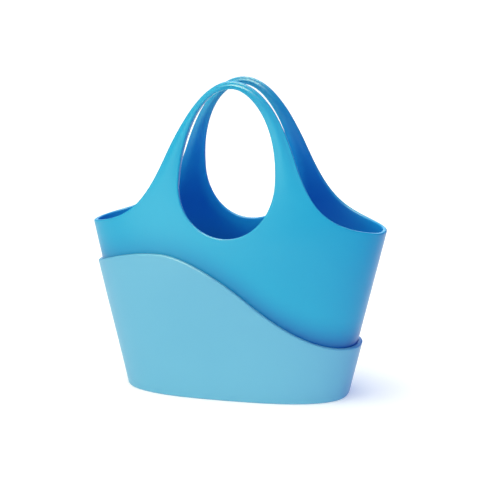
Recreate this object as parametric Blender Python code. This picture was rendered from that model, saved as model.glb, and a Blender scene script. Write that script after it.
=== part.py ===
"""A two-tone moulded tote: a flared tub with two tall arched handles, standing in a wave-topped base sleeve.

Metres, +Z up. The long side runs along X and the front faces -Y. The origin is on the ground, under the
middle of the sleeve. Each piece is drawn as a sheet through the middle of its wall, then thickened to
both sides and closed with full-round edges.
"""
from math import acos, cos, hypot, pi, sin

import bmesh
import bpy
from mathutils import Vector

# Flared tub, outer skin
RIM_HEIGHT = 0.2006
RIM_LENGTH = 0.3538
END_FLARE = 0.236
FOOT_DEPTH = 0.112
RIM_DEPTH = 0.1369
SIDE_FLARE = 0.02
RIM_LEAN = 0.125
FOOT_SQUARENESS = 2.62
RIM_SQUARENESS = 2.355
WALL = 0.005
FLOOR_CORNER = 0.012

# Hand hole and the arch round it, in the front view
HOLE_WIDTH = 0.1078
HOLE_HEIGHT = 0.1673
HOLE_SILL = 0.0054
HOLE_WAIST = 0.0622
GRIP = 0.0090
GRIP_THICKNESS = .006
LIMB_WIDTH = 0.0238
SHOULDER_HEIGHT = 0.0798
SHOULDER_RUN = 0.413
HANDLE_SPREAD = 0.0662
HANDLE_LEAN = -0.122

# How far each curve's handles reach
ARCH_CROWN_PULL = 0.0415
ARCH_SIDE_PULL = 0.0210
FLANK_TOP_PULL = 0.0658
FLANK_END_PULL = 0.0528
FLANK_END_LIFT = 0.0117
EGG_SILL_PULL = 0.0332
EGG_LOWER_PULL = 0.0361
EGG_UPPER_PULL = 0.0612
EGG_CROWN_PULL = 0.0266

# Finish, as linear colour
BAG_BLUE = (0.03, 0.36, 0.66)
SLEEVE_BLUE = (0.16, 0.53, 0.80)
SATIN_ROUGHNESS = 0.4

# Base sleeve
SLEEVE_WALL = 0.0042
SLEEVE_CLEARANCE = 0.0013
SLEEVE_FOOT_CORNER = 0.003
SEAT_GAP = 0.0003
CREST_HEIGHT = 0.1738
CREST_PLACE = -0.0783
LEFT_DROP = 0.0226
RIGHT_DROP = 0.1091
CREST_LEFT_PULL = 0.0363
CREST_RIGHT_PULL = 0.0342
LEFT_END_PULL = 0.0253
LEFT_END_RISE = 0.0116
WAVE_MIDDLE = 0.0247
MIDDLE_DROP = 0.0496
MIDDLE_SLOPE = 0.81
MIDDLE_LEFT_PULL = 0.0221
MIDDLE_RIGHT_PULL = 0.0414
RIGHT_END_PULL = 0.0437

# Mesh fineness
SHEET_CELLS_ACROSS_LIMB = 3
FRONT_CELLS = 6
END_CELLS = 7
SIDE_ROWS = 3
FLANK_CELLS = 4
ARCH_CELLS = 13
LOWER_ROWS = 5
CORNER_CELLS = 3
EDGE_CELLS = 4
SLEEVE_FRONT_CELLS = 18
SLEEVE_END_CELLS = 6
SLEEVE_ROWS = 5

# Where the panel grid meets the end walls, as a place along the flank, and the lower wall
GRID_SEAM = 0.5
GRID_FOOT_DROP = 0.045
HOLE_SHARE_AT_GRID_CORNER = 0.17
HOLE_SHARE_AT_SEAM = 0.26
HOLE_SHARE_AT_SHOULDER = 0.52

HANDLE_TOP = RIM_HEIGHT - HOLE_SILL + HOLE_HEIGHT + GRIP
SLEEVE_FLOOR_TOP = SLEEVE_WALL
BAG_UNDERSIDE = SLEEVE_FLOOR_TOP + SEAT_GAP


def hermite(share, span, start, start_slope, end, end_slope):
    """A cubic from start to end over span, with the slopes given at both ends."""
    s2 = share * share
    s3 = s2 * share
    return ((1 - 3 * s2 + 2 * s3) * start + (share - 2 * s2 + s3) * span * start_slope
            + (3 * s2 - 2 * s3) * end + (s3 - s2) * span * end_slope)


def bezier(points, share):
    """A point on the cubic curve with the four control points given."""
    a, b, c, d = points
    rest = 1 - share
    return tuple(rest ** 3 * p + 3 * rest * rest * share * q + 3 * rest * share * share * r + share ** 3 * s
                 for p, q, r, s in zip(a, b, c, d))


def mix(first, second, share):
    return first + (second - first) * share


def half_length(z):
    """Outer half length of the tub at height z."""
    return RIM_LENGTH / 2 + END_FLARE * (z - RIM_HEIGHT)


def half_depth(z):
    """Outer half depth at height z: a full belly up to the rim, then the lean of the handles."""
    if z < RIM_HEIGHT:
        return hermite(z / RIM_HEIGHT, RIM_HEIGHT, FOOT_DEPTH / 2, SIDE_FLARE, RIM_DEPTH / 2, -RIM_LEAN)
    rise = HANDLE_TOP - RIM_HEIGHT
    return hermite((z - RIM_HEIGHT) / rise, rise, RIM_DEPTH / 2, -RIM_LEAN, HANDLE_SPREAD / 2, -HANDLE_LEAN)


def squareness(z):
    """Exponent of the plan curve: nearly a rounded rectangle at the foot, nearly an oval at the rim."""
    share = min(max(z / RIM_HEIGHT, 0), 1)
    return mix(FOOT_SQUARENESS, RIM_SQUARENESS, share)


def panel_thickness(z):
    """The wall, growing to the thicker grip at the top of the handles."""
    share = min(max((z - RIM_HEIGHT) / (HANDLE_TOP - RIM_HEIGHT), 0), 1)
    return mix(WALL, GRIP_THICKNESS, share * share * (3 - 2 * share))


def plan_point(angle, z, grow):
    """The point of the plan curve at an angle from +X, with the outer skin grown by a distance."""
    power = 2 / squareness(z)
    across = cos(angle)
    along = sin(angle)
    x = (half_length(z) + grow) * abs(across) ** power
    y = (half_depth(z) + grow) * abs(along) ** power
    return Vector((x if across >= 0 else -x, -y if along >= 0 else y, z))


def plan_angle(x, z, grow):
    """The angle of the plan curve's front point at x."""
    share = min(abs(x) / (half_length(z) + grow), 1)
    angle = acos(min(share ** (squareness(z) / 2), 1))
    return angle if x >= 0 else pi - angle


def middle_growth(z):
    return -panel_thickness(z) / 2


def panel_point(x, z):
    """A point of the bag's middle sheet on the front panel, from its place in the front view."""
    grow = middle_growth(z)
    point = plan_point(plan_angle(x, z, grow), z, grow)
    point.x = x
    return point


def grid(rows):
    """Quads between neighbouring rows of points, listed from the lower row to the upper."""
    return [(lower[j], lower[j + 1], upper[j + 1], upper[j])
            for lower, upper in zip(rows, rows[1:])
            for j in range(len(lower) - 1)]


def mirrored(faces, axis):
    """The faces, together with their mirror image across the plane square to an axis."""
    images = []
    for face in faces:
        flipped = []
        for point in reversed(face):
            image = point.copy()
            image[axis] = -image[axis]
            flipped.append(image)
        images.append(tuple(flipped))
    return faces + images


def arch_and_flank():
    """The panel's edge line in the front view: the arch from the crown to the shoulder, then the flank."""
    crown = (0, HANDLE_TOP - GRIP_THICKNESS / 2)
    shoulder_z = RIM_HEIGHT + SHOULDER_HEIGHT
    shoulder = (HOLE_WIDTH / 2 + LIMB_WIDTH - panel_thickness(shoulder_z) / 2, shoulder_z)
    length = hypot(SHOULDER_RUN, 1)
    slope = (SHOULDER_RUN / length, -1 / length)
    end_z = RIM_HEIGHT - WALL / 2
    end = (half_length(end_z) - WALL / 2, end_z)
    arch = (crown,
            (ARCH_CROWN_PULL, crown[1]),
            (shoulder[0] - slope[0] * ARCH_SIDE_PULL, shoulder[1] - slope[1] * ARCH_SIDE_PULL),
            shoulder)
    flank = (shoulder,
             (shoulder[0] + slope[0] * FLANK_TOP_PULL, shoulder[1] + slope[1] * FLANK_TOP_PULL),
             (end[0] - FLANK_END_PULL, end[1] + FLANK_END_LIFT),
             end)
    return arch, flank


def hole_edge():
    """The hand hole's edge line in the front view, as its lower and upper curves."""
    sill_z = RIM_HEIGHT - HOLE_SILL
    sill = (0, sill_z - WALL / 2)
    waist_z = sill_z + HOLE_WAIST
    waist = (HOLE_WIDTH / 2 + panel_thickness(waist_z) / 2, waist_z)
    crown_z = sill_z + HOLE_HEIGHT
    crown = (0, crown_z + panel_thickness(crown_z) / 2)
    lower = (sill, (EGG_SILL_PULL, sill[1]), (waist[0], waist_z - EGG_LOWER_PULL), waist)
    upper = (waist, (waist[0], waist_z + EGG_UPPER_PULL), (EGG_CROWN_PULL, crown[1]), crown)
    return lower, upper


def along(points, shares):
    """Points at the given shares of a line's length."""
    reach = [0.0]
    for a, b in zip(points, points[1:]):
        reach.append(reach[-1] + hypot(b[0] - a[0], b[1] - a[1]))
    found = []
    k = 0
    for share in shares:
        target = share * reach[-1]
        while k < len(points) - 2 and reach[k + 1] < target:
            k += 1
        part = (target - reach[k]) / (reach[k + 1] - reach[k])
        found.append((mix(points[k][0], points[k + 1][0], part), mix(points[k][1], points[k + 1][1], part)))
    return found


def sampled(curves, steps):
    """A fine line of points along curves that join end to end."""
    line = [bezier(curves[0], 0)]
    for curve in curves:
        line += [bezier(curve, (i + 1) / steps) for i in range(steps)]
    return line


def bag_quarter():
    """The front right quarter of the bag's middle sheet."""
    arch, flank = arch_and_flank()
    foot_z = RIM_HEIGHT - HOLE_SILL - GRID_FOOT_DROP

    # Columns of the end wall, closer together near the end: a top point on the flank, and its angle there
    tops = []
    for j in range(END_CELLS + 1):
        rest = (1 - j / END_CELLS) ** 2 * (1 - GRID_SEAM)
        x, z = bezier(flank, 1 - rest)
        tops.append((z, 0 if j == END_CELLS else plan_angle(x, z, middle_growth(z))))
    seam_z, seam_angle = tops[0]
    seam_x = bezier(flank, GRID_SEAM)[0]
    foot_grow = middle_growth(foot_z)
    foot_seam_angle = plan_angle(seam_x, foot_z, foot_grow)
    feet = [foot_seam_angle * angle / seam_angle for z, angle in tops]
    end_rows = []
    for i in range(SIDE_ROWS + 1):
        share = i / SIDE_ROWS
        row = []
        for (top_z, top_angle), foot_angle in zip(tops, feet):
            z = mix(foot_z, top_z, share)
            row.append(plan_point(mix(foot_angle, top_angle, share), z, middle_growth(z)))
        end_rows.append(row)
    faces = grid(end_rows)

    # Panel grid round the hand hole, from the middle of its foot to the crown
    outer = [(seam_x * k / FRONT_CELLS, foot_z) for k in range(FRONT_CELLS)]
    outer += [(row[0].x, row[0].z) for row in end_rows]
    flank_steps = [GRID_SEAM * (1 - (k + 1) / FLANK_CELLS) for k in range(FLANK_CELLS)]
    outer += [bezier(flank, share) for share in flank_steps]
    outer += [bezier(arch, 1 - (k + 1) / ARCH_CELLS) for k in range(ARCH_CELLS)]
    stops = [(0, 0), (FRONT_CELLS, HOLE_SHARE_AT_GRID_CORNER),
             (FRONT_CELLS + SIDE_ROWS, HOLE_SHARE_AT_SEAM),
             (FRONT_CELLS + SIDE_ROWS + FLANK_CELLS, HOLE_SHARE_AT_SHOULDER), (len(outer) - 1, 1)]
    shares = [0.0]
    for (first, low), (last, high) in zip(stops, stops[1:]):
        shares += [mix(low, high, (k + 1) / (last - first)) for k in range(last - first)]
    inner = along(sampled(hole_edge(), 60), shares)
    rings = []
    for i in range(SHEET_CELLS_ACROSS_LIMB + 1):
        share = 1 - i / SHEET_CELLS_ACROSS_LIMB
        rings.append([panel_point(mix(a[0], b[0], share), mix(a[1], b[1], share))
                      for a, b in zip(inner, outer)])
    faces += grid(rings)

    # Lower wall, corner and floor
    angles = [plan_angle(point[0], foot_z, foot_grow) for point in outer[:FRONT_CELLS]] + feet
    return faces + lower_sheet(angles, foot_z, BAG_UNDERSIDE + WALL / 2, -WALL / 2, FLOOR_CORNER - WALL / 2,
                               LOWER_ROWS)


def lower_sheet(angles, top_z, floor_z, grow, corner, row_count):
    """A wall up to one height with its corner and floor, along columns of fixed angle."""
    rows = corner_rows(angles, floor_z, grow, corner)
    for i in range(row_count):
        z = mix(floor_z + corner, top_z, (i + 1) / row_count)
        rows.append([plan_point(angle, z, grow) for angle in angles])
    return grid(rows) + [floor_face(rows[0])]


def corner_rows(angles, floor_z, grow, corner):
    """Rows that turn from the floor up into the wall on a quarter round."""
    rows = []
    for i in range(CORNER_CELLS + 1):
        turn = pi / 2 * i / CORNER_CELLS
        z = floor_z + corner * (1 - cos(turn))
        inset = corner * (1 - sin(turn))
        row = []
        for angle in angles:
            point = plan_point(angle, floor_z + corner, grow - inset)
            point.z = z
            row.append(point)
        rows.append(row)
    return rows


def floor_face(row):
    """A flat face from the middle of the floor out to a row, facing down."""
    return tuple([Vector((0, 0, row[0].z))] + list(reversed(row)))


def wave_height(x):
    """Height of the sleeve's top edge at x: a crest on the left, falling to a low right end."""
    crest = (CREST_PLACE, CREST_HEIGHT)
    left_z = CREST_HEIGHT - LEFT_DROP
    left_x = -half_length(left_z) - SLEEVE_CLEARANCE - SLEEVE_WALL
    right_z = CREST_HEIGHT - RIGHT_DROP
    right_x = half_length(right_z) + SLEEVE_CLEARANCE + SLEEVE_WALL
    middle = (WAVE_MIDDLE, CREST_HEIGHT - MIDDLE_DROP)
    if x < CREST_PLACE:
        curve = ((left_x, left_z), (left_x + LEFT_END_PULL, left_z + LEFT_END_RISE),
                 (CREST_PLACE - CREST_LEFT_PULL, CREST_HEIGHT), crest)
    elif x < WAVE_MIDDLE:
        curve = (crest, (CREST_PLACE + CREST_RIGHT_PULL, CREST_HEIGHT),
                 (middle[0] - MIDDLE_LEFT_PULL, middle[1] + MIDDLE_SLOPE * MIDDLE_LEFT_PULL), middle)
    else:
        curve = (middle, (middle[0] + MIDDLE_RIGHT_PULL, middle[1] - MIDDLE_SLOPE * MIDDLE_RIGHT_PULL),
                 (right_x - RIGHT_END_PULL, right_z), (right_x, right_z))
    low = 0.0
    high = 1.0
    for _ in range(30):
        share = (low + high) / 2
        if bezier(curve, share)[0] < x:
            low = share
        else:
            high = share
    return bezier(curve, low)[1] - SLEEVE_WALL / 2


def sleeve_half():
    """The front half of the sleeve's middle sheet, from the left end to the right."""
    grow = SLEEVE_CLEARANCE + SLEEVE_WALL / 2
    seam_z = CREST_HEIGHT / 2
    seam_x = half_length(seam_z) * 0.8
    seam_angle = plan_angle(seam_x, seam_z, grow)
    front = [plan_angle(mix(-seam_x, seam_x, k / SLEEVE_FRONT_CELLS), seam_z, grow)
             for k in range(1, SLEEVE_FRONT_CELLS)]
    right = [mix(seam_angle, 0, k / SLEEVE_END_CELLS) for k in range(SLEEVE_END_CELLS + 1)]
    left = [pi - angle for angle in reversed(right)]
    angles = left + front + right
    floor_z = SLEEVE_WALL / 2
    corner = SLEEVE_FOOT_CORNER - SLEEVE_WALL / 2
    rows = corner_rows(angles, floor_z, grow, corner)
    tops = []
    for angle in angles:
        z = seam_z
        for _ in range(20):
            z = wave_height(plan_point(angle, z, grow).x)
        tops.append(z)
    for i in range(SLEEVE_ROWS):
        share = (i + 1) / SLEEVE_ROWS
        rows.append([plan_point(angle, mix(floor_z + corner, top, share), grow)
                     for angle, top in zip(angles, tops)])
    return grid(rows) + [floor_face(rows[0])]


def thickened(faces, thickness):
    """A closed mesh from a sheet: both skins, joined by full-round edges along the sheet's free edges."""
    sheet = bmesh.new()
    for face in faces:
        sheet.faces.new([sheet.verts.new(point) for point in face])
    bmesh.ops.remove_doubles(sheet, verts=sheet.verts, dist=0.00002)
    sheet.normal_update()
    solid = bmesh.new()
    half = {v: thickness(v.co.z) / 2 for v in sheet.verts}
    outer = {v: solid.verts.new(v.co + v.normal * half[v]) for v in sheet.verts}
    inner = {v: solid.verts.new(v.co - v.normal * half[v]) for v in sheet.verts}
    for face in sheet.faces:
        solid.faces.new([outer[v] for v in face.verts])
        solid.faces.new([inner[v] for v in reversed(face.verts)])
    free = [edge.link_loops[0] for edge in sheet.edges if edge.is_boundary]
    outward = {}
    for loop in free:
        side = (loop.link_loop_next.vert.co - loop.vert.co).cross(loop.face.normal).normalized()
        for v in (loop.vert, loop.link_loop_next.vert):
            outward[v] = outward.get(v, Vector()) + side
    rings = {}
    for v, side in outward.items():
        side = (side - v.normal * side.dot(v.normal)).normalized()
        ring = [outer[v]]
        for k in range(1, EDGE_CELLS):
            turn = pi / 2 - pi * k / EDGE_CELLS
            ring.append(solid.verts.new(v.co + (side * cos(turn) + v.normal * sin(turn)) * half[v]))
        rings[v] = ring + [inner[v]]
    for loop in free:
        first = rings[loop.vert]
        second = rings[loop.link_loop_next.vert]
        for k in range(EDGE_CELLS):
            solid.faces.new([second[k], first[k], first[k + 1], second[k + 1]])
    sheet.free()
    return solid


def plastic(name, colour, roughness):
    material = bpy.data.materials.new(name)
    material.use_nodes = True
    shader = material.node_tree.nodes["Principled BSDF"]
    shader.inputs["Base Color"].default_value = (*colour, 1)
    shader.inputs["Roughness"].default_value = roughness
    shader.inputs["Metallic"].default_value = 0
    return material


def moulding(name, solid, material):
    """One named object from a finished solid."""
    mesh = bpy.data.meshes.new(name)
    bmesh.ops.recalc_face_normals(solid, faces=solid.faces)
    solid.to_mesh(mesh)
    solid.free()
    mesh.shade_smooth()
    mesh.materials.append(material)
    piece = bpy.data.objects.new(name, mesh)
    bpy.context.scene.collection.objects.link(piece)
    return piece


def bag_body():
    sheet = mirrored(mirrored(bag_quarter(), 0), 1)
    blue = plastic("blue plastic", BAG_BLUE, SATIN_ROUGHNESS)
    return moulding("bag_body", thickened(sheet, panel_thickness), blue)


def base_sleeve():
    sheet = mirrored(sleeve_half(), 1)
    pale = plastic("pale blue plastic", SLEEVE_BLUE, SATIN_ROUGHNESS)
    return moulding("base_sleeve", thickened(sheet, lambda z: SLEEVE_WALL), pale)


def build():
    for old in list(bpy.data.objects):
        bpy.data.objects.remove(old, do_unlink=True)
    bag_body()
    base_sleeve()


build()
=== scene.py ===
"""Looks for the two-tone moulded tote: a blue bag with arched handles in a pale blue, wave-topped sleeve."""
from math import acos, cos, hypot, pi, radians, sin

import bmesh
import bpy
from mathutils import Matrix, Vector
from mathutils.kdtree import KDTree


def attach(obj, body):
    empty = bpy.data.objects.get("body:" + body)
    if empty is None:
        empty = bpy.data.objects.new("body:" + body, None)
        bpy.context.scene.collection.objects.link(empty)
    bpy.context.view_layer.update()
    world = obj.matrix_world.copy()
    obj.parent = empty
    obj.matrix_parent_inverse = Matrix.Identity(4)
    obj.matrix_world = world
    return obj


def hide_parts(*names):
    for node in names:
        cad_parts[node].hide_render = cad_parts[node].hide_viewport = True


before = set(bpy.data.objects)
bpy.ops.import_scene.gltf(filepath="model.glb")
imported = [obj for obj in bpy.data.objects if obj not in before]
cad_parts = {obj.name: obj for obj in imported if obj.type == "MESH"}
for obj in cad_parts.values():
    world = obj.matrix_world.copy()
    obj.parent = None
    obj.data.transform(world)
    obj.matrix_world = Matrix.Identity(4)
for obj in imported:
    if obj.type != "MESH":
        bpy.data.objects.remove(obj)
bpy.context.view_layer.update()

# Flared tub, outer skin, in metres, as in the part's source
RIM_HEIGHT = 0.2006
RIM_LENGTH = 0.3538
END_FLARE = 0.236
FOOT_DEPTH = 0.112
RIM_DEPTH = 0.1369
SIDE_FLARE = 0.02
RIM_LEAN = 0.125
FOOT_SQUARENESS = 2.62
RIM_SQUARENESS = 2.355
WALL = 0.005
FLOOR_CORNER = 0.012

# Hand hole and the arch round it, in the front view
HOLE_WIDTH = 0.1078
HOLE_HEIGHT = 0.1673
HOLE_SILL = 0.0054
HOLE_WAIST = 0.0622
GRIP = 0.0090
GRIP_THICKNESS = 0.006
LIMB_WIDTH = 0.0238
SHOULDER_HEIGHT = 0.0798
SHOULDER_RUN = 0.413
HANDLE_SPREAD = 0.0662
HANDLE_LEAN = -0.122

# How far each curve's handles reach
ARCH_CROWN_PULL = 0.0415
ARCH_SIDE_PULL = 0.0210
FLANK_TOP_PULL = 0.0658
FLANK_END_PULL = 0.0528
FLANK_END_LIFT = 0.0117
EGG_SILL_PULL = 0.0332
EGG_LOWER_PULL = 0.0361
EGG_UPPER_PULL = 0.0612
EGG_CROWN_PULL = 0.0266

# Base sleeve
SLEEVE_WALL = 0.0042
SLEEVE_CLEARANCE = 0.0013
SLEEVE_FOOT_CORNER = 0.003
SEAT_GAP = 0.0003
CREST_HEIGHT = 0.1738
CREST_PLACE = -0.0783
LEFT_DROP = 0.0226
RIGHT_DROP = 0.1091
CREST_LEFT_PULL = 0.0363
CREST_RIGHT_PULL = 0.0342
LEFT_END_PULL = 0.0253
LEFT_END_RISE = 0.0116
WAVE_MIDDLE = 0.0247
MIDDLE_DROP = 0.0496
MIDDLE_SLOPE = 0.81
MIDDLE_LEFT_PULL = 0.0221
MIDDLE_RIGHT_PULL = 0.0414
RIGHT_END_PULL = 0.0437

# Mesh fineness of the dressed pieces
LIMB_CELLS = 10
FRONT_CELLS = 18
END_CELLS = 20
SIDE_ROWS = 9
FLANK_CELLS = 14
ARCH_CELLS = 40
LOWER_ROWS = 16
CORNER_CELLS = 7
EDGE_CELLS = 12
SLEEVE_FRONT_CELLS = 72
SLEEVE_END_CELLS = 26
SLEEVE_ROWS = 18
LINE_STEPS = 200
WELD_DISTANCE = 0.00001

# Rounds of halving that find the sleeve's edge at a place, and of stepping that settle each column's top
HALVING_ROUNDS = 30
SETTLING_ROUNDS = 20

# Where the panel grid meets the end walls, as a place along the flank, and the lower wall
GRID_SEAM = 0.5
GRID_FOOT_DROP = 0.045
HOLE_SHARE_AT_GRID_CORNER = 0.17
HOLE_SHARE_AT_SEAM = 0.26
HOLE_SHARE_AT_SHOULDER = 0.52

# Where the sleeve's front columns give way to its end columns, as a share of the tub's half length
SLEEVE_SEAM_SHARE = 0.8

# The handles' fuller section: how far each skin stands out further, at the limbs' edges and at their middle
EDGE_SWELL = 0.0003
MIDDLE_SWELL = 0.0024
SWELL_START = 0.205
SWELL_FULL = 0.300

# Shade painted into the bag's colour over the sleeve's edge: how far up it reaches, and its share at the
# crest
SHADE_REACH = 0.040
SHADE_AT_CREST = 0.3

# Painted shade on the bag's inner skin, a bluer colour: full below one height, fading out up the handles
INSIDE_FULL = 0.28
INSIDE_END = 0.36

# The sleeve's inner skin stands closer to the bag than in the solid, above a plain foot
SEAM_GAIN = 0.0011
SEAM_FULL = 0.030

# Free edges are rounded squares in section; 2 would be a half round. The sleeve's inner corner is crisp.
EDGE_SQUARENESS = 3.2
SEAM_SQUARENESS = 8.0

# How each quarter of the handles differs from the solid's mean: how much wider its hole is at the waist,
# how much fuller the hole is under the crown, how much less full the arch is, and how much slimmer the limb
FRONT_LEFT = (0.0036, 0.009, 0.004, 0.0)
FRONT_RIGHT = (0.0014, 0.0, 0.0, 0.0)
BACK_LEFT = (-0.0014, 0.006, 0.001, 0.0018)
BACK_RIGHT = (0.0020, 0.001, 0.0, 0.0)

# Camera, fitted to the photograph: a 480 pixel frame with a focal length of 1404 pixels
CAMERA_PLACE = (0.390603, -1.580634, 0.527899)
CAMERA_BACK = (0.233265, -0.949773, 0.208612)
FOCAL_PIXELS = 1403.7
FRAME_PIXELS = 480
SENSOR = 36.0

# Bag plastic: two close blues, with painted shade over the sleeve's edge and a bluer painted shade on the
# inner skin
BAG_DEEP = (0.010, 0.32, 0.54)
BAG_LIGHT = (0.014, 0.35, 0.57)
BAG_PAINTED_SHADE_OVER_SLEEVE = (0.002, 0.09, 0.36)
BAG_PAINTED_SHADE_INSIDE = (0.008, 0.31, 0.74)
BAG_ROUGHNESS = 0.34

# Sleeve plastic
SLEEVE_DEEP = (0.115, 0.39, 0.57)
SLEEVE_LIGHT = (0.13, 0.42, 0.60)
SLEEVE_ROUGHNESS = 0.36

# Both plastics: the cloud in the pigment, the moulded grain and the satin surface
CLOUD_SCALE = 9.0
CLOUD_DETAIL = 3.0
CLOUD_ROUGHNESS = 0.06
GRAIN_SCALE = 900.0
GRAIN_DETAIL = 2.0
GRAIN_STRENGTH = 0.03
GRAIN_HEIGHT = 0.0004
COAT_WEIGHT = 0.05
COAT_ROUGHNESS = 0.25
PLASTIC_SPECULAR = 0.28

# The colour sockets of a Mix node, which has a set of sockets for each type of data
FIRST_COLOUR = 6
SECOND_COLOUR = 7
MIXED_COLOUR = 2

# Warm lamps, a cool one behind, and blue light from all round
LAMP_COLOUR = (1.0, 0.93, 0.48)
COOL_COLOUR = (0.62, 0.85, 1.0)
AMBIENT_COLOUR = (0.10, 0.28, 1.0, 1)
AMBIENT_STRENGTH = 0.64
SKY_DISTANCE = 2.0

# Pale floor with a faint light of its own
FLOOR_COLOUR = (0.76, 0.755, 0.74, 1)
FLOOR_ROUGHNESS = 0.9
FLOOR_SPECULAR = 0.2
FLOOR_GLOW = (1, 1, 0.98, 1)
FLOOR_GLOW_STRENGTH = 0.36
FLOOR_REACH = 60.0

# Dim blue card: its own dark surface, its light, and its place to the right
CARD_SURFACE = (0.005, 0.005, 0.005, 1)
CARD_COLOUR = (0.0, 0.12, 1.0, 1)
CARD_STRENGTH = 0.62
CARD_PLACE = 0.56
CARD_HALF_WIDTH = 0.9
CARD_FOOT = 0.001
CARD_TOP = 1.1

HANDLE_TOP = RIM_HEIGHT - HOLE_SILL + HOLE_HEIGHT + GRIP
SLEEVE_FLOOR_TOP = SLEEVE_WALL
BAG_UNDERSIDE = SLEEVE_FLOOR_TOP + SEAT_GAP


def hermite(share, span, start, start_slope, end, end_slope):
    """A cubic from start to end over span, with the slopes given at both ends."""
    s2 = share * share
    s3 = s2 * share
    return ((1 - 3 * s2 + 2 * s3) * start + (share - 2 * s2 + s3) * span * start_slope
            + (3 * s2 - 2 * s3) * end + (s3 - s2) * span * end_slope)


def bezier(points, share):
    """A point on the cubic curve with the four control points given."""
    a, b, c, d = points
    rest = 1 - share
    return tuple(rest ** 3 * p + 3 * rest * rest * share * q + 3 * rest * share * share * r + share ** 3 * s
                 for p, q, r, s in zip(a, b, c, d))


def mix(first, second, share):
    return first + (second - first) * share


def clamped(value):
    """The value, held between 0 and 1."""
    return min(max(value, 0), 1)


def smooth(share):
    """A share from 0 to 1 that sets off and arrives gently."""
    return share * share * (3 - 2 * share)


def half_length(z):
    """Outer half length of the tub at height z."""
    return RIM_LENGTH / 2 + END_FLARE * (z - RIM_HEIGHT)


def half_depth(z):
    """Outer half depth at height z: a full belly up to the rim, then the lean of the handles."""
    if z < RIM_HEIGHT:
        return hermite(z / RIM_HEIGHT, RIM_HEIGHT, FOOT_DEPTH / 2, SIDE_FLARE, RIM_DEPTH / 2, -RIM_LEAN)
    rise = HANDLE_TOP - RIM_HEIGHT
    return hermite((z - RIM_HEIGHT) / rise, rise, RIM_DEPTH / 2, -RIM_LEAN, HANDLE_SPREAD / 2, -HANDLE_LEAN)


def squareness(z):
    """Exponent of the plan curve, where 2 is an oval: squarer at the foot, rounder at the rim."""
    return mix(FOOT_SQUARENESS, RIM_SQUARENESS, clamped(z / RIM_HEIGHT))


def panel_thickness(z):
    """The wall, growing to the thicker grip at the top of the handles."""
    share = clamped((z - RIM_HEIGHT) / (HANDLE_TOP - RIM_HEIGHT))
    return mix(WALL, GRIP_THICKNESS, smooth(share))


def plan_point(angle, z, grow):
    """The point of the plan curve at an angle from +X, with the outer skin grown by a distance."""
    power = 2 / squareness(z)
    across = cos(angle)
    along = sin(angle)
    x = (half_length(z) + grow) * abs(across) ** power
    y = (half_depth(z) + grow) * abs(along) ** power
    return Vector((x if across >= 0 else -x, -y if along >= 0 else y, z))


def plan_angle(x, z, grow):
    """The angle of the plan curve's front point at x."""
    share = min(abs(x) / (half_length(z) + grow), 1)
    angle = acos(min(share ** (squareness(z) / 2), 1))
    return angle if x >= 0 else pi - angle


def middle_growth(z):
    return -panel_thickness(z) / 2


def panel_point(x, z):
    """A point of the bag's middle sheet on the front panel, from its place in the front view."""
    grow = middle_growth(z)
    point = plan_point(plan_angle(x, z, grow), z, grow)
    point.x = x
    return point


def grid(rows):
    """Quads between neighbouring rows of points, listed from the lower row to the upper."""
    return [(lower[j], lower[j + 1], upper[j + 1], upper[j])
            for lower, upper in zip(rows, rows[1:])
            for j in range(len(lower) - 1)]


def mirrored(faces, axis):
    """The mirror image of the faces across the plane square to an axis."""
    images = []
    for face in faces:
        flipped = []
        for point in reversed(face):
            image = point.copy()
            image[axis] = -image[axis]
            flipped.append(image)
        images.append(tuple(flipped))
    return images


def arch_and_flank(flatter, slimmer):
    """The panel's edge line in the front view: the arch from the crown to the shoulder, then the flank."""
    crown = (0, HANDLE_TOP - GRIP_THICKNESS / 2)
    shoulder_z = RIM_HEIGHT + SHOULDER_HEIGHT
    shoulder = (HOLE_WIDTH / 2 + LIMB_WIDTH - slimmer - panel_thickness(shoulder_z) / 2, shoulder_z)
    length = hypot(SHOULDER_RUN, 1)
    slope = (SHOULDER_RUN / length, -1 / length)
    end_z = RIM_HEIGHT - WALL / 2
    end = (half_length(end_z) - WALL / 2, end_z)
    arch = (crown,
            (ARCH_CROWN_PULL - flatter, crown[1]),
            (shoulder[0] - slope[0] * ARCH_SIDE_PULL, shoulder[1] - slope[1] * ARCH_SIDE_PULL),
            shoulder)
    flank = (shoulder,
             (shoulder[0] + slope[0] * FLANK_TOP_PULL, shoulder[1] + slope[1] * FLANK_TOP_PULL),
             (end[0] - FLANK_END_PULL, end[1] + FLANK_END_LIFT),
             end)
    return arch, flank


def hole_edge(reach, fullness):
    """The hand hole's edge line in the front view, as its lower and upper curves."""
    sill_z = RIM_HEIGHT - HOLE_SILL
    sill = (0, sill_z - WALL / 2)
    waist_z = sill_z + HOLE_WAIST
    waist = (HOLE_WIDTH / 2 + reach + panel_thickness(waist_z) / 2, waist_z)
    crown_z = sill_z + HOLE_HEIGHT
    crown = (0, crown_z + panel_thickness(crown_z) / 2)
    lower = (sill, (EGG_SILL_PULL, sill[1]), (waist[0], waist_z - EGG_LOWER_PULL), waist)
    upper = (waist, (waist[0], waist_z + EGG_UPPER_PULL), (EGG_CROWN_PULL + fullness, crown[1]), crown)
    return lower, upper


def along(points, shares):
    """Points at the given shares of a line's length."""
    reach = [0.0]
    for a, b in zip(points, points[1:]):
        reach.append(reach[-1] + hypot(b[0] - a[0], b[1] - a[1]))
    found = []
    k = 0
    for share in shares:
        target = share * reach[-1]
        while k < len(points) - 2 and reach[k + 1] < target:
            k += 1
        part = (target - reach[k]) / (reach[k + 1] - reach[k])
        found.append((mix(points[k][0], points[k + 1][0], part), mix(points[k][1], points[k + 1][1], part)))
    return found


def sampled(curves, steps):
    """A fine line of points along curves that join end to end."""
    line = [bezier(curves[0], 0)]
    for curve in curves:
        line += [bezier(curve, (i + 1) / steps) for i in range(steps)]
    return line


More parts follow.
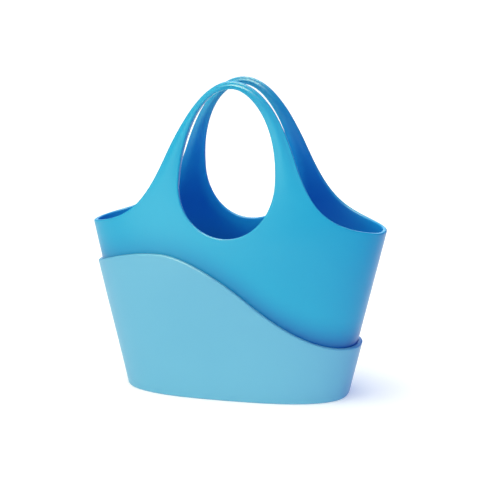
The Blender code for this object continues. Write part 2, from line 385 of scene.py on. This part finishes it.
def bag_quarter(reach, fullness, flatter, slimmer):
    """The front right quarter of the bag's middle sheet, with its own half of the hole and of the arch."""
    arch, flank = arch_and_flank(flatter, slimmer)
    foot_z = RIM_HEIGHT - HOLE_SILL - GRID_FOOT_DROP

    # Columns of the end wall, closer together near the end: a top point on the flank, and its angle there
    tops = []
    for j in range(END_CELLS + 1):
        rest = (1 - j / END_CELLS) ** 2 * (1 - GRID_SEAM)
        x, z = bezier(flank, 1 - rest)
        tops.append((z, 0 if j == END_CELLS else plan_angle(x, z, middle_growth(z))))
    seam_z, seam_angle = tops[0]
    seam_x = bezier(flank, GRID_SEAM)[0]
    foot_grow = middle_growth(foot_z)
    foot_seam_angle = plan_angle(seam_x, foot_z, foot_grow)
    feet = [foot_seam_angle * angle / seam_angle for z, angle in tops]
    end_rows = []
    for i in range(SIDE_ROWS + 1):
        share = i / SIDE_ROWS
        row = []
        for (top_z, top_angle), foot_angle in zip(tops, feet):
            z = mix(foot_z, top_z, share)
            row.append(plan_point(mix(foot_angle, top_angle, share), z, middle_growth(z)))
        end_rows.append(row)
    faces = grid(end_rows)

    # Panel grid round the hand hole, from the middle of its foot to the crown
    outer = [(seam_x * k / FRONT_CELLS, foot_z) for k in range(FRONT_CELLS)]
    outer += [(row[0].x, row[0].z) for row in end_rows]
    flank_steps = [GRID_SEAM * (1 - (k + 1) / FLANK_CELLS) for k in range(FLANK_CELLS)]
    outer += [bezier(flank, share) for share in flank_steps]
    outer += [bezier(arch, 1 - (k + 1) / ARCH_CELLS) for k in range(ARCH_CELLS)]
    stops = [(0, 0), (FRONT_CELLS, HOLE_SHARE_AT_GRID_CORNER),
             (FRONT_CELLS + SIDE_ROWS, HOLE_SHARE_AT_SEAM),
             (FRONT_CELLS + SIDE_ROWS + FLANK_CELLS, HOLE_SHARE_AT_SHOULDER), (len(outer) - 1, 1)]
    shares = [0.0]
    for (first, low), (last, high) in zip(stops, stops[1:]):
        shares += [mix(low, high, (k + 1) / (last - first)) for k in range(last - first)]
    inner = along(sampled(hole_edge(reach, fullness), LINE_STEPS), shares)
    rings = []
    for i in range(LIMB_CELLS + 1):
        share = 1 - i / LIMB_CELLS
        rings.append([panel_point(mix(a[0], b[0], share), mix(a[1], b[1], share))
                      for a, b in zip(inner, outer)])
    faces += grid(rings)

    # Lower wall, corner and floor
    angles = [plan_angle(point[0], foot_z, foot_grow) for point in outer[:FRONT_CELLS]] + feet
    rows = corner_rows(angles, BAG_UNDERSIDE + WALL / 2, -WALL / 2, FLOOR_CORNER - WALL / 2)
    wall_foot = BAG_UNDERSIDE + FLOOR_CORNER
    for i in range(LOWER_ROWS):
        z = mix(wall_foot, foot_z, (i + 1) / LOWER_ROWS)
        rows.append([plan_point(angle, z, -WALL / 2) for angle in angles])
    return faces + grid(rows) + [floor_face(rows[0])]


def corner_rows(angles, floor_z, grow, corner):
    """Rows that turn from the floor up into the wall on a quarter round."""
    rows = []
    for i in range(CORNER_CELLS + 1):
        turn = pi / 2 * i / CORNER_CELLS
        z = floor_z + corner * (1 - cos(turn))
        inset = corner * (1 - sin(turn))
        row = []
        for angle in angles:
            point = plan_point(angle, floor_z + corner, grow - inset)
            point.z = z
            row.append(point)
        rows.append(row)
    return rows


def floor_face(row):
    """A flat face from the middle of the floor out to a row, facing down."""
    return tuple([Vector((0, 0, row[0].z))] + list(reversed(row)))


def wave_height(x):
    """Height of the sleeve's top edge at x: a crest on the left, falling to a low right end."""
    crest = (CREST_PLACE, CREST_HEIGHT)
    left_z = CREST_HEIGHT - LEFT_DROP
    left_x = -half_length(left_z) - SLEEVE_CLEARANCE - SLEEVE_WALL
    right_z = CREST_HEIGHT - RIGHT_DROP
    right_x = half_length(right_z) + SLEEVE_CLEARANCE + SLEEVE_WALL
    middle = (WAVE_MIDDLE, CREST_HEIGHT - MIDDLE_DROP)
    if x < CREST_PLACE:
        curve = ((left_x, left_z), (left_x + LEFT_END_PULL, left_z + LEFT_END_RISE),
                 (CREST_PLACE - CREST_LEFT_PULL, CREST_HEIGHT), crest)
    elif x < WAVE_MIDDLE:
        curve = (crest, (CREST_PLACE + CREST_RIGHT_PULL, CREST_HEIGHT),
                 (middle[0] - MIDDLE_LEFT_PULL, middle[1] + MIDDLE_SLOPE * MIDDLE_LEFT_PULL), middle)
    else:
        curve = (middle, (middle[0] + MIDDLE_RIGHT_PULL, middle[1] - MIDDLE_SLOPE * MIDDLE_RIGHT_PULL),
                 (right_x - RIGHT_END_PULL, right_z), (right_x, right_z))
    low = 0.0
    high = 1.0
    for _ in range(HALVING_ROUNDS):
        share = (low + high) / 2
        if bezier(curve, share)[0] < x:
            low = share
        else:
            high = share
    return bezier(curve, low)[1] - SLEEVE_WALL / 2


def sleeve_thickness(z):
    """The sleeve's wall, with its inner skin nearer to the bag above the foot."""
    return SLEEVE_WALL + SEAM_GAIN * clamped((z - SLEEVE_WALL) / SEAM_FULL)


def sleeve_growth(z):
    """How far the sleeve's middle sheet stands outside the tub, for an outer skin that keeps its place."""
    return SLEEVE_CLEARANCE + SLEEVE_WALL - sleeve_thickness(z) / 2


def sleeve_half():
    """The front half of the sleeve's middle sheet, from the left end to the right."""
    grow = SLEEVE_CLEARANCE + SLEEVE_WALL / 2
    seam_z = CREST_HEIGHT / 2
    seam_x = half_length(seam_z) * SLEEVE_SEAM_SHARE
    seam_angle = plan_angle(seam_x, seam_z, grow)
    front = [plan_angle(mix(-seam_x, seam_x, k / SLEEVE_FRONT_CELLS), seam_z, grow)
             for k in range(1, SLEEVE_FRONT_CELLS)]
    right = [mix(seam_angle, 0, k / SLEEVE_END_CELLS) for k in range(SLEEVE_END_CELLS + 1)]
    left = [pi - angle for angle in reversed(right)]
    angles = left + front + right
    floor_z = SLEEVE_WALL / 2
    corner = SLEEVE_FOOT_CORNER - SLEEVE_WALL / 2
    rows = corner_rows(angles, floor_z, grow, corner)
    tops = []
    for angle in angles:
        z = seam_z
        for _ in range(SETTLING_ROUNDS):
            z = wave_height(plan_point(angle, z, grow).x)
        tops.append(z)
    for i in range(SLEEVE_ROWS):
        share = (i + 1) / SLEEVE_ROWS
        heights = [mix(floor_z + corner, top, share) for top in tops]
        rows.append([plan_point(angle, z, sleeve_growth(z)) for angle, z in zip(angles, heights)])
    return grid(rows) + [floor_face(rows[0])]


def thickened(faces, thickness, edge_thickness, inner_squareness=EDGE_SQUARENESS):
    """A closed mesh from a sheet: both skins, joined by rounded square edges along the sheet's free edges.

    The edges stand out beyond the sheet by half of the edge thickness, whatever the thickness of the wall."""
    sheet = bmesh.new()
    for face in faces:
        sheet.faces.new([sheet.verts.new(point) for point in face])
    bmesh.ops.remove_doubles(sheet, verts=sheet.verts, dist=WELD_DISTANCE)
    sheet.normal_update()
    solid = bmesh.new()
    half = {v: thickness(v.co) / 2 for v in sheet.verts}
    outer = {v: solid.verts.new(v.co + v.normal * half[v]) for v in sheet.verts}
    inner = {v: solid.verts.new(v.co - v.normal * half[v]) for v in sheet.verts}
    for face in sheet.faces:
        solid.faces.new([outer[v] for v in face.verts])
        solid.faces.new([inner[v] for v in reversed(face.verts)])
    free = [edge.link_loops[0] for edge in sheet.edges if edge.is_boundary]
    outward = {}
    for loop in free:
        side = (loop.link_loop_next.vert.co - loop.vert.co).cross(loop.face.normal).normalized()
        for v in (loop.vert, loop.link_loop_next.vert):
            outward[v] = outward.get(v, Vector()) + side
    rings = {}
    for v, side in outward.items():
        side = (side - v.normal * side.dot(v.normal)).normalized()
        ring = [outer[v]]
        reach = edge_thickness(v.co.z) / 2
        for k in range(1, EDGE_CELLS):
            turn = pi / 2 - pi * k / EDGE_CELLS
            power = 2 / (EDGE_SQUARENESS if turn >= 0 else inner_squareness)
            proud = side * reach * cos(turn) ** power
            across = v.normal * half[v] * abs(sin(turn)) ** power
            ring.append(solid.verts.new(v.co + proud + (across if turn >= 0 else -across)))
        rings[v] = ring + [inner[v]]
    for loop in free:
        first = rings[loop.vert]
        second = rings[loop.link_loop_next.vert]
        for k in range(EDGE_CELLS):
            solid.faces.new([second[k], first[k], first[k + 1], second[k + 1]])
    sheet.free()
    return solid


class Shade:
    """A shader socket that takes part in arithmetic; each operation adds its Math node."""

    def __init__(self, tree, socket):
        self.tree = tree
        self.socket = socket

    def combine(self, operation, first, second):
        return self.tree.node("ShaderNodeMath", {"operation": operation}, (first, second)).out()

    def __add__(self, other):
        return self.combine("ADD", self, other)

    def __radd__(self, other):
        return self.combine("ADD", other, self)

    def __mul__(self, other):
        return self.combine("MULTIPLY", self, other)

    def __rmul__(self, other):
        return self.combine("MULTIPLY", other, self)


class Made:
    """A node just made, whose outputs are read as shades."""

    def __init__(self, tree, node):
        self.tree = tree
        self.node = node

    def out(self, name=0):
        return Shade(self.tree, self.node.outputs[name])


class Plastic:
    """A material under construction, with one method that makes every node."""

    def __init__(self, name):
        self.material = bpy.data.materials.new(name)
        self.material.use_nodes = True
        self.nodes = self.material.node_tree.nodes
        self.links = self.material.node_tree.links
        self.shader = self.nodes["Principled BSDF"]

    def node(self, kind, settings=None, inputs=()):
        """A node of a kind, with its settings made first and then its sockets' values or links."""
        node = self.nodes.new(kind)
        for key, value in (settings or {}).items():
            setattr(node, key, value)
        named = inputs.items() if isinstance(inputs, dict) else enumerate(inputs)
        for key, value in named:
            self.feed(node.inputs[key], value)
        return Made(self, node)

    def feed(self, socket, value):
        if isinstance(value, Shade):
            self.links.new(value.socket, socket)
        else:
            socket.default_value = value

    def mixed(self, factor, first, second):
        """A colour between two, each a shade or its red, green, blue and alpha."""
        return self.node("ShaderNodeMix", {"data_type": "RGBA"},
                         {"Factor": factor, FIRST_COLOUR: first, SECOND_COLOUR: second}).out(MIXED_COLOUR)

    def finish(self, **sockets):
        """Feeds the Principled shader's sockets; an underscore stands for a space."""
        for name, value in sockets.items():
            self.feed(self.shader.inputs[name.replace("_", " ")], value)
        return self.material


def moulded_plastic(name, deep, light, roughness, painted_shade_over_sleeve=None, inside=None):
    """Satin plastic with a faint cloud in its colour, painted shade on marked skin, and a fine grain."""
    made = Plastic(name)
    place = made.node("ShaderNodeTexCoord").out("Object")
    cloud = made.node("ShaderNodeTexNoise", {},
                      {"Vector": place, "Scale": CLOUD_SCALE, "Detail": CLOUD_DETAIL}).out("Fac")
    grain = made.node("ShaderNodeTexNoise", {},
                      {"Vector": place, "Scale": GRAIN_SCALE, "Detail": GRAIN_DETAIL}).out("Fac")
    colour = made.mixed(cloud, (*deep, 1), (*light, 1))
    # Each mark paints shade into the colour: the bluer inner skin and the band over the sleeve's edge
    for mark, painted_shade_colour in (("inside_shade", inside), ("sleeve_shade", painted_shade_over_sleeve)):
        if painted_shade_colour:
            depth = made.node("ShaderNodeAttribute", {"attribute_name": mark}).out("Fac")
            colour = made.mixed(depth, colour, (*painted_shade_colour, 1))
    bump = made.node("ShaderNodeBump", {},
                     {"Height": grain, "Strength": GRAIN_STRENGTH, "Distance": GRAIN_HEIGHT}).out("Normal")
    return made.finish(Base_Color=colour, Roughness=cloud * CLOUD_ROUGHNESS + roughness, Normal=bump,
                       Coat_Weight=COAT_WEIGHT, Coat_Roughness=COAT_ROUGHNESS,
                       Specular_IOR_Level=PLASTIC_SPECULAR)


def mark_painted_inside_shade(solid):
    """Marks the vertices of the bag's inner skin for its bluer painted shade, less and less up the handles.
    """
    layer = solid.verts.layers.float.new("inside_shade")
    solid.normal_update()
    for v in solid.verts:
        inward = -v.normal.dot(Vector((v.co.x / RIM_LENGTH, v.co.y / RIM_DEPTH, 0)).normalized())
        low = clamped((INSIDE_END - v.co.z) / (INSIDE_END - INSIDE_FULL))
        v[layer] = clamped(inward) * smooth(low)
    return solid


def mark_shade(solid):
    """Marks the bag's vertices with how deep they stand in the painted shade over the sleeve's edge."""
    layer = solid.verts.layers.float.new("sleeve_shade")
    for v in solid.verts:
        if v.co.z > CREST_HEIGHT + SHADE_REACH:
            continue
        above = v.co.z - wave_height(v.co.x) - SLEEVE_WALL / 2
        depth = clamped(1 - above / SHADE_REACH)
        low = clamped((CREST_HEIGHT - wave_height(v.co.x)) / RIGHT_DROP)
        v[layer] = depth * depth * mix(SHADE_AT_CREST, 1, low)
    return solid


def moulding(name, solid, material, body, node):
    """One smooth piece from a finished solid, standing for its node of the frame."""
    mesh = bpy.data.meshes.new(name)
    bmesh.ops.recalc_face_normals(solid, faces=solid.faces)
    solid.to_mesh(mesh)
    solid.free()
    mesh.shade_smooth()
    mesh.materials.append(material)
    piece = bpy.data.objects.new(name, mesh)
    bpy.context.scene.collection.objects.link(piece)
    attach(piece, body)
    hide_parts(node)


def line_tree(line):
    """A search tree of a front-view line's points."""
    tree = KDTree(len(line))
    for index, (x, z) in enumerate(line):
        tree.insert((x, 0, z), index)
    tree.balance()
    return tree


def limb_thickness():
    """The wall's thickness by place: flat in the tub, crowned between the limbs' edges in the handles."""
    hole = line_tree(sampled(hole_edge(0, 0), LINE_STEPS))
    arch = line_tree(sampled(arch_and_flank(0, 0), LINE_STEPS))

    def thickness(point):
        share = clamped((point.z - SWELL_START) / (SWELL_FULL - SWELL_START))
        if share == 0:
            return panel_thickness(point.z)
        place = (abs(point.x), 0, point.z)
        to_hole = hole.find(place)[2]
        to_arch = arch.find(place)[2]
        across = to_hole / (to_hole + to_arch)
        swell = mix(EDGE_SWELL, MIDDLE_SWELL, 4 * across * (1 - across)) * smooth(share)
        return panel_thickness(point.z) + 2 * swell

    return thickness


def bag_sheet():
    """The bag's whole middle sheet, from its four quarters."""
    front_right = bag_quarter(*FRONT_RIGHT)
    front_left = mirrored(bag_quarter(*FRONT_LEFT), 0)
    back_right = mirrored(bag_quarter(*BACK_RIGHT), 1)
    back_left = mirrored(mirrored(bag_quarter(*BACK_LEFT), 0), 1)
    return front_right + front_left + back_right + back_left


def bag_moulding():
    # The bag's colour carries painted shade over the sleeve's edge and on its inner skin
    blue = moulded_plastic("satin blue bag plastic", BAG_DEEP, BAG_LIGHT, BAG_ROUGHNESS,
                           painted_shade_over_sleeve=BAG_PAINTED_SHADE_OVER_SLEEVE, inside=BAG_PAINTED_SHADE_INSIDE)
    solid = mark_painted_inside_shade(mark_shade(thickened(bag_sheet(), limb_thickness(), panel_thickness)))
    moulding("bag_moulding", solid, blue, "root", "bag_body")


def sleeve_moulding():
    front = sleeve_half()
    pale = moulded_plastic("satin pale blue sleeve plastic", SLEEVE_DEEP, SLEEVE_LIGHT, SLEEVE_ROUGHNESS)
    solid = thickened(front + mirrored(front, 1), lambda point: sleeve_thickness(point.z),
                      lambda z: SLEEVE_WALL, SEAM_SQUARENESS)
    moulding("sleeve_moulding", solid, pale, "root", "base_sleeve")


def flat_piece(name, corners, material):
    """A flat piece of the stage with four corners."""
    mesh = bpy.data.meshes.new(name)
    mesh.from_pydata(corners, [], [(0, 1, 2, 3)])
    mesh.materials.append(material)
    piece = bpy.data.objects.new(name, mesh)
    bpy.context.scene.collection.objects.link(piece)
    return piece


def floor():
    """A plain pale floor out to the horizon."""
    made = Plastic("pale studio floor")
    material = made.finish(Base_Color=FLOOR_COLOUR, Roughness=FLOOR_ROUGHNESS,
                           Specular_IOR_Level=FLOOR_SPECULAR,
                           Emission_Color=FLOOR_GLOW, Emission_Strength=FLOOR_GLOW_STRENGTH)
    far = FLOOR_REACH
    corners = [(-far, -far, 0), (far, -far, 0), (far, far, 0), (-far, far, 0)]
    piece = flat_piece("studio_floor", corners, material)


def blue_card():
    """A dim blue card standing to the right, which keeps the floor's white light off that end of the tote.

    It isn't seen itself, and its own faint light is that of the blue surroundings it hides."""
    made = Plastic("dim blue card")
    material = made.finish(Base_Color=CARD_SURFACE, Roughness=1.0, Specular_IOR_Level=0.0,
                           Emission_Color=CARD_COLOUR, Emission_Strength=CARD_STRENGTH)
    corners = [(CARD_PLACE, -CARD_HALF_WIDTH, CARD_FOOT), (CARD_PLACE, CARD_HALF_WIDTH, CARD_FOOT),
               (CARD_PLACE, CARD_HALF_WIDTH, CARD_TOP), (CARD_PLACE, -CARD_HALF_WIDTH, CARD_TOP)]
    piece = flat_piece("dim_blue_card", corners, material)
    piece.visible_camera = False
    piece.visible_shadow = False
    piece.visible_glossy = False


def direction(azimuth, elevation):
    """The direction from the tote towards a lamp; azimuth 0 is in front, positive to the right."""
    a = radians(azimuth)
    e = radians(elevation)
    return Vector((sin(a) * cos(e), -cos(a) * cos(e), sin(e)))


def soft_box(name, azimuth, elevation, distance, size, power, colour=LAMP_COLOUR):
    """A square soft box, turned to the tote."""
    data = bpy.data.lights.new(name, "AREA")
    data.shape = "SQUARE"
    data.size = size
    data.energy = power
    data.color = colour
    return hang(name, data, direction(azimuth, elevation), distance)


def soft_sky(name, azimuth, elevation, spread, strength):
    """A distant lamp with a wide, soft disc."""
    data = bpy.data.lights.new(name, "SUN")
    data.angle = radians(spread)
    data.energy = strength
    data.color = LAMP_COLOUR
    hang(name, data, direction(azimuth, elevation), SKY_DISTANCE)


def hang(name, data, toward, distance):
    """A lamp at a distance from the middle of the tote, turned to it and not seen itself."""
    lamp = bpy.data.objects.new(name, data)
    middle = Vector((0, 0, HANDLE_TOP / 2))
    lamp.location = middle + toward * distance
    lamp.rotation_euler = toward.to_track_quat("Z", "Y").to_euler()
    lamp.visible_camera = False
    bpy.context.scene.collection.objects.link(lamp)
    return lamp


def studio():
    """White surroundings that light in blue, and six lamps.

    They are a broad soft light overhead, a low box in front, a fill from behind, and three boxes that show
    only in the sheen."""
    world = bpy.data.worlds.new("studio white")
    world.use_nodes = True
    nodes = world.node_tree.nodes
    links = world.node_tree.links
    seen = nodes["Background"]
    seen.inputs["Color"].default_value = (1, 1, 1, 1)
    ambient = nodes.new("ShaderNodeBackground")
    ambient.inputs["Color"].default_value = AMBIENT_COLOUR
    ambient.inputs["Strength"].default_value = AMBIENT_STRENGTH
    ray = nodes.new("ShaderNodeLightPath")
    both = nodes.new("ShaderNodeMixShader")
    links.new(ray.outputs["Is Camera Ray"], both.inputs[0])
    links.new(ambient.outputs[0], both.inputs[1])
    links.new(seen.outputs[0], both.inputs[2])
    links.new(both.outputs[0], nodes["World Output"].inputs["Surface"])
    bpy.context.scene.world = world
    soft_sky("overhead soft light", azimuth=-60, elevation=76, spread=50, strength=3.1)
    front = soft_box("front soft box", azimuth=-4, elevation=6, distance=2.6, size=0.5, power=28.5)
    back = soft_box("back fill", azimuth=176, elevation=14, distance=2.6, size=1.0, power=15)
    for lamp in (front, back):
        lamp.visible_glossy = False
    left_sheen = soft_box("left sheen", azimuth=-31, elevation=10, distance=2.0, size=1.6, power=23)
    back_sheen = soft_box("back sheen", azimuth=197, elevation=30, distance=2.5, size=2.0, power=30,
                          colour=COOL_COLOUR)
    edge_sheen = soft_box("edge sheen", azimuth=14, elevation=76, distance=2.2, size=1.3, power=160)
    for lamp in (left_sheen, back_sheen, edge_sheen):
        lamp.visible_diffuse = False


def camera():
    data = bpy.data.cameras.new("photo camera")
    data.sensor_width = SENSOR
    data.lens = FOCAL_PIXELS / FRAME_PIXELS * SENSOR
    eye = bpy.data.objects.new("photo camera", data)
    eye.location = CAMERA_PLACE
    eye.rotation_euler = Vector(CAMERA_BACK).to_track_quat("Z", "Y").to_euler()
    bpy.context.scene.collection.objects.link(eye)
    bpy.context.scene.camera = eye


bag_moulding()
sleeve_moulding()
floor()
blue_card()
studio()
camera()
bpy.context.scene.view_settings.view_transform = "Standard"
